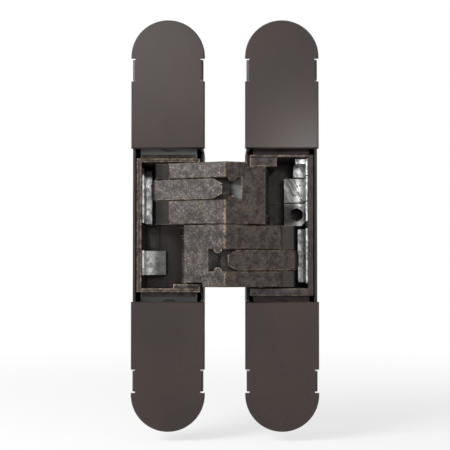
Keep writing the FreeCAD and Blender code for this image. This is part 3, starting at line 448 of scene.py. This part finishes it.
class BronzeTree(FinishTree):
    """The antique bronze of arms and links. Its patterns are made once, and its layers share them."""

    def __init__(self, name, finishes, dark_from):
        super().__init__(name)
        self.finishes = finishes
        self.blotch = self.patches(finishes.blotch_size, BLOTCH_FADE, detail=5.0)
        self.speckle = self.noise(finishes.speckle_size, detail=4.0)
        specks = self.spread(self.speckle, *BLOTCH_FADE)
        half_blotches = self.times(self.blotch, 0.5)
        half_specks = self.times(specks, 0.5)
        self.rub = self.plus(half_blotches, half_specks)
        self.stain = self.patches(ARM_STAIN, ARM_STAIN_FADE, detail=4.0)
        self.right = self.right_half()
        self.from_ridge = self.along("X", RIDGE_X)
        # Painted shade on the tips past the reach from the ridge, darkest towards the ends.
        self.in_tip_shade = self.past(self.from_ridge, dark_from, SHARP)
        self.tip_end_shade = self.past(self.from_ridge, dark_from + TIP_START, TIP_FADE)

    def patina(self):
        """Rubbed patches over dark brown, with stains, and with marks and flecks that come in patches."""
        finishes = self.finishes
        # Greyer left of the ridge and browner right of it: partly patina, partly painted warm light
        # reflected onto the right faces.
        rubbed = self.blend(self.right, finishes.arm_grey, finishes.arm_brown)
        body = self.blend(self.rub, finishes.arm_dark, rubbed)
        stained = self.blend(self.stain, body, finishes.arm_ochre, up_to=0.22)
        in_patches = self.spread(self.blotch, 0.1, 0.9, to_low=0.25)
        rising = self.spread(self.scratches(finishes, RISING_TURN), *ARM_SCRATCH_FADE)
        falling = self.spread(self.scratches(finishes, FALLING_TURN), *ARM_SCRATCH_FADE)
        marks = self.plus(rising, falling)
        marks = self.times(marks, self.between(self.right, at_none=0.95, at_one=0.35))
        marks = self.times(marks, in_patches)
        marked = self.blend(marks, stained, toned(finishes.arm_grey, 3.0))
        flecks = self.patches(finishes.fleck_size, FLECK_FADE, detail=2.0)
        flecks = self.times(flecks, self.between(self.right, at_none=0.60, at_one=0.25))
        flecks = self.times(flecks, in_patches)
        return self.blend(flecks, marked, toned(finishes.arm_grey, 6.0))

    def tips(self):
        """Painted shade on the fork tips and the links' noses: dark coating, nearly black towards the ends
        and paler right of the ridge.
        """
        dark = self.finishes.tip_shade
        coating = self.blend(self.rub, dark, toned(dark, 3.2))
        coating = self.blend(self.tip_end_shade, coating, toned(dark, 0.2))
        return self.blend(self.right, coating, toned(dark, 5.0), up_to=0.5)

    def wear(self):
        """One where the edges and the ridge are rubbed bare, broken up by specks and blotches."""
        ridge_wear = self.finishes.ridge_wear
        on_ridge = self.spread(self.from_ridge, ridge_wear, FULL_SHARE * ridge_wear)
        in_front = self.spread(self.along("Y", RIDGE_Y), *RIDGE_DEPTHS)
        ridge = self.times(self.times(on_ridge, in_front), RIDGE_SHARE)
        worn = self.plus(self.edges(self.finishes.edge_reach), ridge)
        in_specks = self.spread(self.speckle, *ARM_SPECK_FADE)
        in_blotches = self.spread(self.blotch, 0.0, 0.8, to_low=0.3)
        broken = self.times(worn, self.times(in_specks, in_blotches))
        # No worn edges in the painted shade on the tips.
        return self.times(broken, self.between(self.in_tip_shade, at_none=1.0, at_one=0.15))


def opaque(source):
    """A colour with its fourth number, or a socket as it is."""
    if isinstance(source, bpy.types.NodeSocket):
        return source
    return (*source, 1.0)


def toned(base, factor):
    """A colour made lighter or darker by a factor."""
    return [factor * part for part in base]


def dress(names, material):
    """Puts one material on the solids of these names."""
    for name in names:
        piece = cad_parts[name]
        piece.data.materials.clear()
        piece.data.materials.append(material)


def cover_finish(finishes):
    """Satin brown coating with a fine grain, greyer in slow patches, with painted shade along the rims."""
    finish = FinishTree("cover_satin_brown")
    mottle = finish.patches(finishes.mottle_size, WIDE_FADE)
    warm = finish.blend(mottle, finishes.cover_brown, toned(finishes.cover_brown, 1.5))
    cloud = finish.patches(finishes.cloud_size, SOFT_FADE, detail=2.0)
    clouded = finish.blend(cloud, warm, finishes.cover_grey, up_to=0.6)
    # Painted shade along the rims.
    rim = finish.edges(finishes.edge_reach)
    surface = finish.blend(rim, clouded, finishes.cover_rim_shade, up_to=0.3)
    grain = finish.noise(finishes.grain_size, detail=2.0)
    finish.coat(surface, finish.spread(grain, *WIDE_FADE, *COVER_ROUGHNESS), metallic=0.2, specular=0.3)
    finish.shader.inputs["Coat Weight"].default_value = finishes.cover_lacquer
    finish.shader.inputs["Coat Roughness"].default_value = LACQUER_ROUGHNESS
    finish.relief(grain, COVER_RELIEF)
    return finish.material


def case_finish(finishes):
    """Near black coating over a grainy casting, faintly rubbed on its edges."""
    finish = FinishTree("case_black_casting")
    cast = finish.noise(CAST_GRAIN, detail=4.0)
    cloud = finish.patches(CAST_CLOUD, SOFT_FADE)
    body = finish.blend(cloud, finishes.case_black, toned(finishes.case_black, 1.6))
    rubbed = finish.times(finish.edges(finishes.edge_reach), finish.spread(cast, *CAST_FADE))
    surface = finish.blend(rubbed, body, finishes.worn_bronze, up_to=0.12)
    finish.coat(surface, finish.spread(cast, *WIDE_FADE, *CASE_ROUGHNESS), metallic=0.1, specular=0.25)
    finish.relief(cast, CASE_RELIEF)
    return finish.material


def box_finish(name, finishes, lugs, pocket_painted_tone, dark_from, wear_share, shade_share):
    """Dark antique bronze in blotches, toned down in the pocket, with painted shade in corners and worn
    edges.
    Past the reach from the ridge it is darker. The lower and upper lugs have their own colours, which carry
    painted shade and painted shadow."""
    finish = FinishTree(name)
    blotch = finish.patches(finishes.blotch_size, PATCH_FADE, detail=4.0)
    body = finish.blend(blotch, finishes.box_brown, finishes.arm_dark)
    # Down in the pocket the bronze is toned by the pocket share: painted light where the share is above one,
    # painted shade where it is below.
    down = finish.spread(finish.along("Y", FACE_Y), *POCKET_DEPTHS)
    body = finish.blend(down, body, toned(finishes.box_brown, pocket_painted_tone))
    # Painted shade in corners.
    with_shade = finish.blend(finish.corners(finishes.shade_reach), body, finishes.shade, up_to=shade_share)
    # Darker past the reach from the ridge, with fewer worn edges.
    past_reach = finish.past(finish.along("X", RIDGE_X), dark_from, WALL_FADE)
    with_shade = finish.blend(past_reach, with_shade, finishes.shade, up_to=0.55)
    stain = finish.patches(BOX_STAIN, BOX_STAIN_FADE)
    bare = finish.blend(stain, finishes.worn_bronze, finishes.arm_ochre, up_to=0.5)
    speckle = finish.noise(finishes.speckle_size)
    in_specks = finish.spread(speckle, *BOX_SPECK_FADE)
    in_blotches = finish.spread(blotch, 0.0, 0.8, to_low=1.0, to_high=0.7)
    broken = finish.times(in_specks, in_blotches)
    reached = finish.times(broken, finish.between(past_reach, at_none=wear_share, at_one=0.1))
    rubbed = finish.times(finish.edges(BOX_EDGE_SHARE * finishes.edge_reach), reached)
    worn = finish.blend(rubbed, with_shade, bare)
    # Painted light and shade on the lugs: the door box's lower lug is a shaded copy of its upper one, and
    # the frame box's lugs carry the covers' painted shadow.
    on_lug = finish.past(finish.along("Z"), finishes.box_rubbed, SHARP)
    above = finish.past(finish.along("Z", CAD_BOX[0].z), HALF_HEIGHT - LUG_FADE / 2, LUG_FADE)
    surface = finish.blend(on_lug, worn, finish.blend(above, *lugs))
    finish.coat(surface, finish.spread(speckle, *WIDE_FADE, *BOX_ROUGHNESS), metallic=0.25, specular=0.3)
    finish.relief(speckle, BOX_RELIEF)
    return finish.material


def bronze_finish(name, finishes, dark_from, ramp_side=1.0, ramp_share=0.0):
    """Rubbed antique bronze as far as the reach from the ridge, painted shade on the tips past it and in
    corners, with bright worn edges.
    The rising floor of an arm's slot is bare grey to a share, right of the ridge or, on side -1, left."""
    finish = BronzeTree(name, finishes, dark_from)
    # Painted shade over the tips.
    with_tip_shade = finish.blend(finish.in_tip_shade, finish.patina(), finish.tips())
    # Painted shade in corners and between the parts.
    with_shade = finish.blend(finish.corners(finishes.shade_reach), with_tip_shade, finishes.shade, up_to=0.45)
    if ramp_share > 0.0:
        ramp_place = (RIDGE_X + ramp_side * RAMP_ACROSS, RAMP_Y, ramp_side * RAMP_UP)
        ramp = finish.within(ramp_place, RAMP_REACH)
        with_shade = finish.blend(ramp, with_shade, finishes.ramp_grey, up_to=ramp_share)
    gilt = finish.blend(finish.stain, finishes.worn_bronze, finishes.arm_ochre)
    surface = finish.blend(finish.wear(), with_shade, gilt, up_to=0.85)
    roughness = finish.spread(finish.speckle, *WIDE_FADE, *ARM_ROUGHNESS)
    finish.coat(surface, roughness, metallic=0.25, specular=0.3)
    finish.relief(finish.speckle, ARM_RELIEF)
    return finish.material


def zinc_finish(name, finishes, shade_place, shade_reach, foot_lit, head_lit):
    """Zinc plating, scratched and dull in patches, with painted shade in corners, deep in the pocket and
    about one place.
    Painted light beside the outer walls brightens it, to one share at its foot and to another at its head."""
    finish = FinishTree(name)
    # Painted light: brighter zinc towards the outer walls and up the height, where light reaches into the
    # pocket.
    rubbed = finish.past(finish.along("X", RIDGE_X), finishes.zinc_lit_from, ZINC_FADE)
    lit_by_height = finish.spread(finish.along("Z", CAD_BOX[0].z), *ZINC_LIGHT_HEIGHTS, foot_lit, head_lit)
    lit_zinc = finish.blend(finish.times(rubbed, lit_by_height), finishes.zinc, finishes.zinc_lit)
    patch = finish.patches(ZINC_PATCH, PATCH_FADE, detail=5.0)
    body = finish.blend(patch, lit_zinc, finishes.zinc_dull, up_to=0.7)
    marks = finish.scratches(finishes, ZINC_TURN)
    marked = finish.blend(finish.spread(marks, *ZINC_SCRATCH_FADE), body, finishes.zinc_dull, up_to=0.6)
    # Painted shade: in corners, deep in the pocket, and where the arm's shadow falls on the key boss and
    # over the strip's top.
    in_corners = finish.times(finish.corners(finishes.shade_reach), CORNER_SHADE)
    deep = finish.past(finish.along("Y", FACE_Y), finishes.shade_depth, SHADE_FADE)
    spot = finish.within(shade_place, shade_reach)
    in_shade = finish.plus(in_corners, finish.times(deep, DEEP_SHADE))
    in_shade = finish.plus(in_shade, finish.times(spot, SPOT_SHADE))
    with_shade = finish.blend(in_shade, marked, finishes.shade)
    finish.coat(with_shade, finish.spread(marks, *WIDE_FADE, *ZINC_ROUGHNESS), metallic=0.95)
    finish.relief(marks, ZINC_RELIEF)
    return finish.material


def steel_finish(finishes):
    """Ground steel with fine marks and painted shade in its recesses."""
    finish = FinishTree("pin_ground_steel")
    marks = finish.noise(STEEL_MARK, drawn=STEEL_MARK_DRAWN)
    body = finish.blend(finish.spread(marks, *SOFT_FADE), toned(finishes.steel, 0.6), finishes.steel)
    # Painted shade in the recesses.
    with_shade = finish.blend(finish.corners(finishes.shade_reach), body, finishes.shade, up_to=0.8)
    finish.coat(with_shade, finish.spread(marks, *WIDE_FADE, *STEEL_ROUGHNESS), metallic=0.95)
    finish.relief(marks, STEEL_RELIEF)
    return finish.material


def washer_finish(finishes):
    """Matt bearing plastic with a fine grain."""
    finish = FinishTree("washer_bearing_plastic")
    grain = finish.noise(finishes.grain_size, detail=2.0)
    light = toned(finishes.washer_grey, 1.4)
    body = finish.blend(finish.spread(grain, *SOFT_FADE), finishes.washer_grey, light)
    finish.coat(body, finish.spread(grain, *WIDE_FADE, *WASHER_ROUGHNESS), specular=0.4)
    finish.relief(grain, WASHER_RELIEF)
    return finish.material


def camera_ray(tree):
    """One for rays from the camera, from gloss and through glass."""
    path = tree.nodes.new("ShaderNodeLightPath")
    seen = path.outputs["Is Camera Ray"]
    for name in ("Is Glossy Ray", "Is Transmission Ray"):
        either = tree.nodes.new("ShaderNodeMath")
        either.operation = "MAXIMUM"
        tree.links.new(seen, either.inputs[0])
        tree.links.new(path.outputs[name], either.inputs[1])
        seen = either.outputs["Value"]
    return seen


def floor_finish(studio):
    """White floor that keeps the hinge's soft shadow and fades to plain white further out."""
    finish = FinishTree("floor_white_paper")
    fibre = finish.patches(FLOOR_FIBRE, WIDE_FADE)
    paper = finish.blend(fibre, studio.floor_white, toned(studio.floor_white, 0.98))
    finish.coat(paper, FLOOR_ROUGHNESS, specular=0.1)
    lit = finish.node("ShaderNodeEmission")
    lit.inputs["Color"].default_value = WHITE
    away = finish.node("ShaderNodeVectorMath", operation="LENGTH")
    finish.feed(away.inputs[0], finish.place)
    near = finish.spread(away.outputs["Value"], studio.shadow_reach, 0.0, 0.0, studio.shadow_share)
    open_share = finish.node("ShaderNodeMath", operation="SUBTRACT", use_clamp=True)
    open_share.inputs[0].default_value = 1.0
    finish.feed(open_share.inputs[1], near)
    mixed = finish.node("ShaderNodeMixShader")
    finish.feed(mixed.inputs["Fac"], finish.times(camera_ray(finish.tree), open_share.outputs["Value"]))
    finish.tree.links.new(finish.shader.outputs["BSDF"], mixed.inputs[1])
    finish.tree.links.new(lit.outputs["Emission"], mixed.inputs[2])
    output = finish.tree.nodes["Material Output"]
    finish.tree.links.new(mixed.outputs["Shader"], output.inputs["Surface"])
    return finish.material


def add_floor(studio):
    """A round floor under the hinge's foot."""
    low, high = CAD_BOX
    middle = (low + high) / 2
    place = (middle.x, middle.y, low.z - studio.floor_gap)
    bpy.ops.mesh.primitive_circle_add(
        vertices=FLOOR_SIDES, radius=studio.floor_radius, fill_type="NGON", location=place
    )
    floor = bpy.context.object
    floor.name = "studio_floor"
    floor.data.materials.append(floor_finish(studio))


def light_surroundings(studio):
    """White surroundings: plain white to the eye and to gloss, and a soft even light on the hinge."""
    world = bpy.data.worlds.new("studio_white")
    bpy.context.scene.world = world
    world.use_nodes = True
    tree = world.node_tree
    even = tree.nodes["Background"]
    even.inputs["Color"].default_value = WHITE
    even.inputs["Strength"].default_value = studio.sky_strength
    white = tree.nodes.new("ShaderNodeBackground")
    white.inputs["Color"].default_value = WHITE
    white.inputs["Strength"].default_value = 1.0
    mixed = tree.nodes.new("ShaderNodeMixShader")
    tree.links.new(camera_ray(tree), mixed.inputs["Fac"])
    tree.links.new(even.outputs["Background"], mixed.inputs[1])
    tree.links.new(white.outputs["Background"], mixed.inputs[2])
    tree.links.new(mixed.outputs["Shader"], tree.nodes["World Output"].inputs["Surface"])


def add_lamp(name, target, offset, watts, side):
    """A square lamp at an offset from the target, turned to it."""
    bpy.ops.object.light_add(type="AREA", location=target + offset)
    lamp = bpy.context.object
    lamp.name = name
    lamp.data.energy = watts
    lamp.data.size = side
    lamp.rotation_euler = (-offset).to_track_quat("-Z", "Y").to_euler()


def add_camera(studio, target):
    """The camera, a little below the hinge's middle, looking slightly up at it."""
    aim = target - Vector((0.0, 0.0, studio.view_shift * studio.view_width))
    back = Vector((0.0, -math.cos(studio.view_rise), -math.sin(studio.view_rise)))
    bpy.ops.object.camera_add(location=aim + studio.view_distance * back)
    camera = bpy.context.object
    camera.name = "photo_camera"
    camera.rotation_euler = (-back).to_track_quat("-Z", "Y").to_euler()
    camera.data.lens = camera.data.sensor_width * studio.view_distance / studio.view_width
    camera.data.shift_y = studio.view_shift
    bpy.context.scene.camera = camera


class HINGE_OT_finish_covers(bpy.types.Operator):
    """Coat the four clip-on covers in satin brown"""

    bl_idname = "hinge.finish_covers"
    bl_label = "Finish covers"

    def execute(self, context):
        dress(COVERS, cover_finish(context.scene.hinge_finishes))
        return {"FINISHED"}


class HINGE_OT_finish_cases(bpy.types.Operator):
    """Coat the two cast cases in near black"""

    bl_idname = "hinge.finish_cases"
    bl_label = "Finish cases"

    def execute(self, context):
        dress(CASES, case_finish(context.scene.hinge_finishes))
        return {"FINISHED"}


class HINGE_OT_finish_boxes(bpy.types.Operator):
    """Give the two pivot boxes their dark antique bronze"""

    bl_idname = "hinge.finish_boxes"
    bl_label = "Finish pivot boxes"

    def execute(self, context):
        finishes = context.scene.hinge_finishes
        # Door box: its lower lug is painted in shade and its pocket is painted lighter.
        door_bronze = box_finish(
            "door_box_bronze", finishes, (toned(finishes.lug_grey, 0.5), finishes.lug_grey),
            pocket_painted_tone=1.3, dark_from=HALF_WIDTH, wear_share=1.0, shade_share=0.40,
        )
        # Frame box: its lugs are in painted shadow and its pocket is painted darker.
        frame_bronze = box_finish(
            "frame_box_bronze", finishes, (finishes.lug_shadow, finishes.lug_shadow),
            pocket_painted_tone=0.5, dark_from=finishes.frame_dark_from, wear_share=0.6, shade_share=0.7,
        )
        dress(("door_box",), door_bronze)
        dress(("frame_box",), frame_bronze)
        return {"FINISHED"}


class HINGE_OT_finish_arms(bpy.types.Operator):
    """Give the crossing arms and their links a rubbed antique bronze"""

    bl_idname = "hinge.finish_arms"
    bl_label = "Finish arms and links"

    def execute(self, context):
        finishes = context.scene.hinge_finishes
        upper_bronze = bronze_finish(
            "upper_arm_bronze", finishes, finishes.arm_shade_from, ramp_side=1.0, ramp_share=0.9
        )
        # On the lower arm the ramp grey is painted light on a slot floor that lies in shade.
        lower_bronze = bronze_finish(
            "lower_arm_bronze", finishes, finishes.arm_shade_from, ramp_side=-1.0, ramp_share=0.3
        )
        dress(("upper_arm",), upper_bronze)
        dress(("lower_arm",), lower_bronze)
        dress(LINKS, bronze_finish("link_antique_bronze", finishes, finishes.link_shade_from))
        return {"FINISHED"}


class HINGE_OT_finish_adjusters(bpy.types.Operator):
    """Plate the adjusters in bright zinc"""

    bl_idname = "hinge.finish_adjusters"
    bl_label = "Finish adjusters"

    def execute(self, context):
        finishes = context.scene.hinge_finishes
        frame_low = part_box("frame_adjuster")[0]
        # The arm casts its shadow on the key boss, and it is painted there as shade.
        boss = (frame_low.x, frame_low.y, KEY_BOSS_Z)
        boss_reach = (finishes.boss_across, THROUGH, finishes.boss_up)
        # Painted light on the frame adjuster, less bright at its foot.
        frame_zinc = zinc_finish(
            "frame_adjuster_zinc", finishes, boss, boss_reach, foot_lit=0.68, head_lit=1.0
        )
        door_low, door_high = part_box("door_adjuster")
        # The top of the door side strip lies in shade, which is painted there.
        strip_top = (door_low.x, door_low.y, door_high.z)
        strip_reach = (THROUGH, THROUGH, finishes.strip_down)
        # Painted light on the door adjuster, the same over its height.
        door_zinc = zinc_finish(
            "door_adjuster_zinc", finishes, strip_top, strip_reach, foot_lit=0.95, head_lit=0.95
        )
        dress(("frame_adjuster",), frame_zinc)
        dress(("door_adjuster",), door_zinc)
        return {"FINISHED"}


class HINGE_OT_finish_pins(bpy.types.Operator):
    """Give pins and clamp screws their ground steel"""

    bl_idname = "hinge.finish_pins"
    bl_label = "Finish pins and screws"

    def execute(self, context):
        dress(PINS + CLAMP_SCREWS, steel_finish(context.scene.hinge_finishes))
        return {"FINISHED"}


class HINGE_OT_finish_washers(bpy.types.Operator):
    """Give the washers their bearing plastic"""

    bl_idname = "hinge.finish_washers"
    bl_label = "Finish washers"

    def execute(self, context):
        dress(WASHERS, washer_finish(context.scene.hinge_finishes))
        return {"FINISHED"}


class HINGE_OT_add_studio(bpy.types.Operator):
    """Set the floor, the lamps, the white surroundings and the camera"""

    bl_idname = "hinge.add_studio"
    bl_label = "Add studio"

    def execute(self, context):
        studio = context.scene.hinge_studio
        target = Vector((RIDGE_X, FACE_Y, (CAD_BOX[0].z + CAD_BOX[1].z) / 2))
        bpy.ops.object.select_all(action="DESELECT")
        add_floor(studio)
        light_surroundings(studio)
        add_lamp("key_lamp", target, KEY_PLACE, studio.key_power, studio.key_size)
        add_lamp("fill_lamp", target, FILL_PLACE, studio.fill_power, studio.fill_size)
        add_lamp("sheen_lamp", target, SHEEN_PLACE, studio.sheen_power, studio.sheen_size)
        add_camera(studio, target)
        context.scene.view_settings.view_transform = "Standard"
        return {"FINISHED"}


class HINGE_PT_sidebar(bpy.types.Panel):
    """Lists the steps that dress the hinge"""

    bl_label = "Concealed hinge"
    bl_space_type = "VIEW_3D"
    bl_region_type = "UI"
    bl_category = "Hinge"

    def draw(self, context):
        column = self.layout.column()
        for step in STEPS:
            column.operator(step.bl_idname)
        for group in (context.scene.hinge_finishes, context.scene.hinge_studio):
            for name in group.bl_rna.properties.keys():
                if name not in ("rna_type", "name"):
                    column.prop(group, name)


GROUPS = (HingeFinishes, HingeStudio)
STEPS = (
    HINGE_OT_finish_covers,
    HINGE_OT_finish_cases,
    HINGE_OT_finish_boxes,
    HINGE_OT_finish_arms,
    HINGE_OT_finish_adjusters,
    HINGE_OT_finish_pins,
    HINGE_OT_finish_washers,
    HINGE_OT_add_studio,
)


def register():
    """Registers the settings, the steps and the sidebar."""
    for cls in (*GROUPS, *STEPS, HINGE_PT_sidebar):
        bpy.utils.register_class(cls)
    bpy.types.Scene.hinge_finishes = PointerProperty(type=HingeFinishes)
    bpy.types.Scene.hinge_studio = PointerProperty(type=HingeStudio)


def unregister():
    """Takes the settings, the steps and the sidebar away again."""
    del bpy.types.Scene.hinge_studio
    del bpy.types.Scene.hinge_finishes
    for cls in reversed((*GROUPS, *STEPS, HINGE_PT_sidebar)):
        bpy.utils.unregister_class(cls)


def main():
    """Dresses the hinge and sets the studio."""
    register()
    bpy.ops.hinge.finish_covers()
    bpy.ops.hinge.finish_cases()
    bpy.ops.hinge.finish_boxes()
    bpy.ops.hinge.finish_arms()
    bpy.ops.hinge.finish_adjusters()
    bpy.ops.hinge.finish_pins()
    bpy.ops.hinge.finish_washers()
    bpy.ops.hinge.add_studio()


if __name__ == "__main__":
    main()
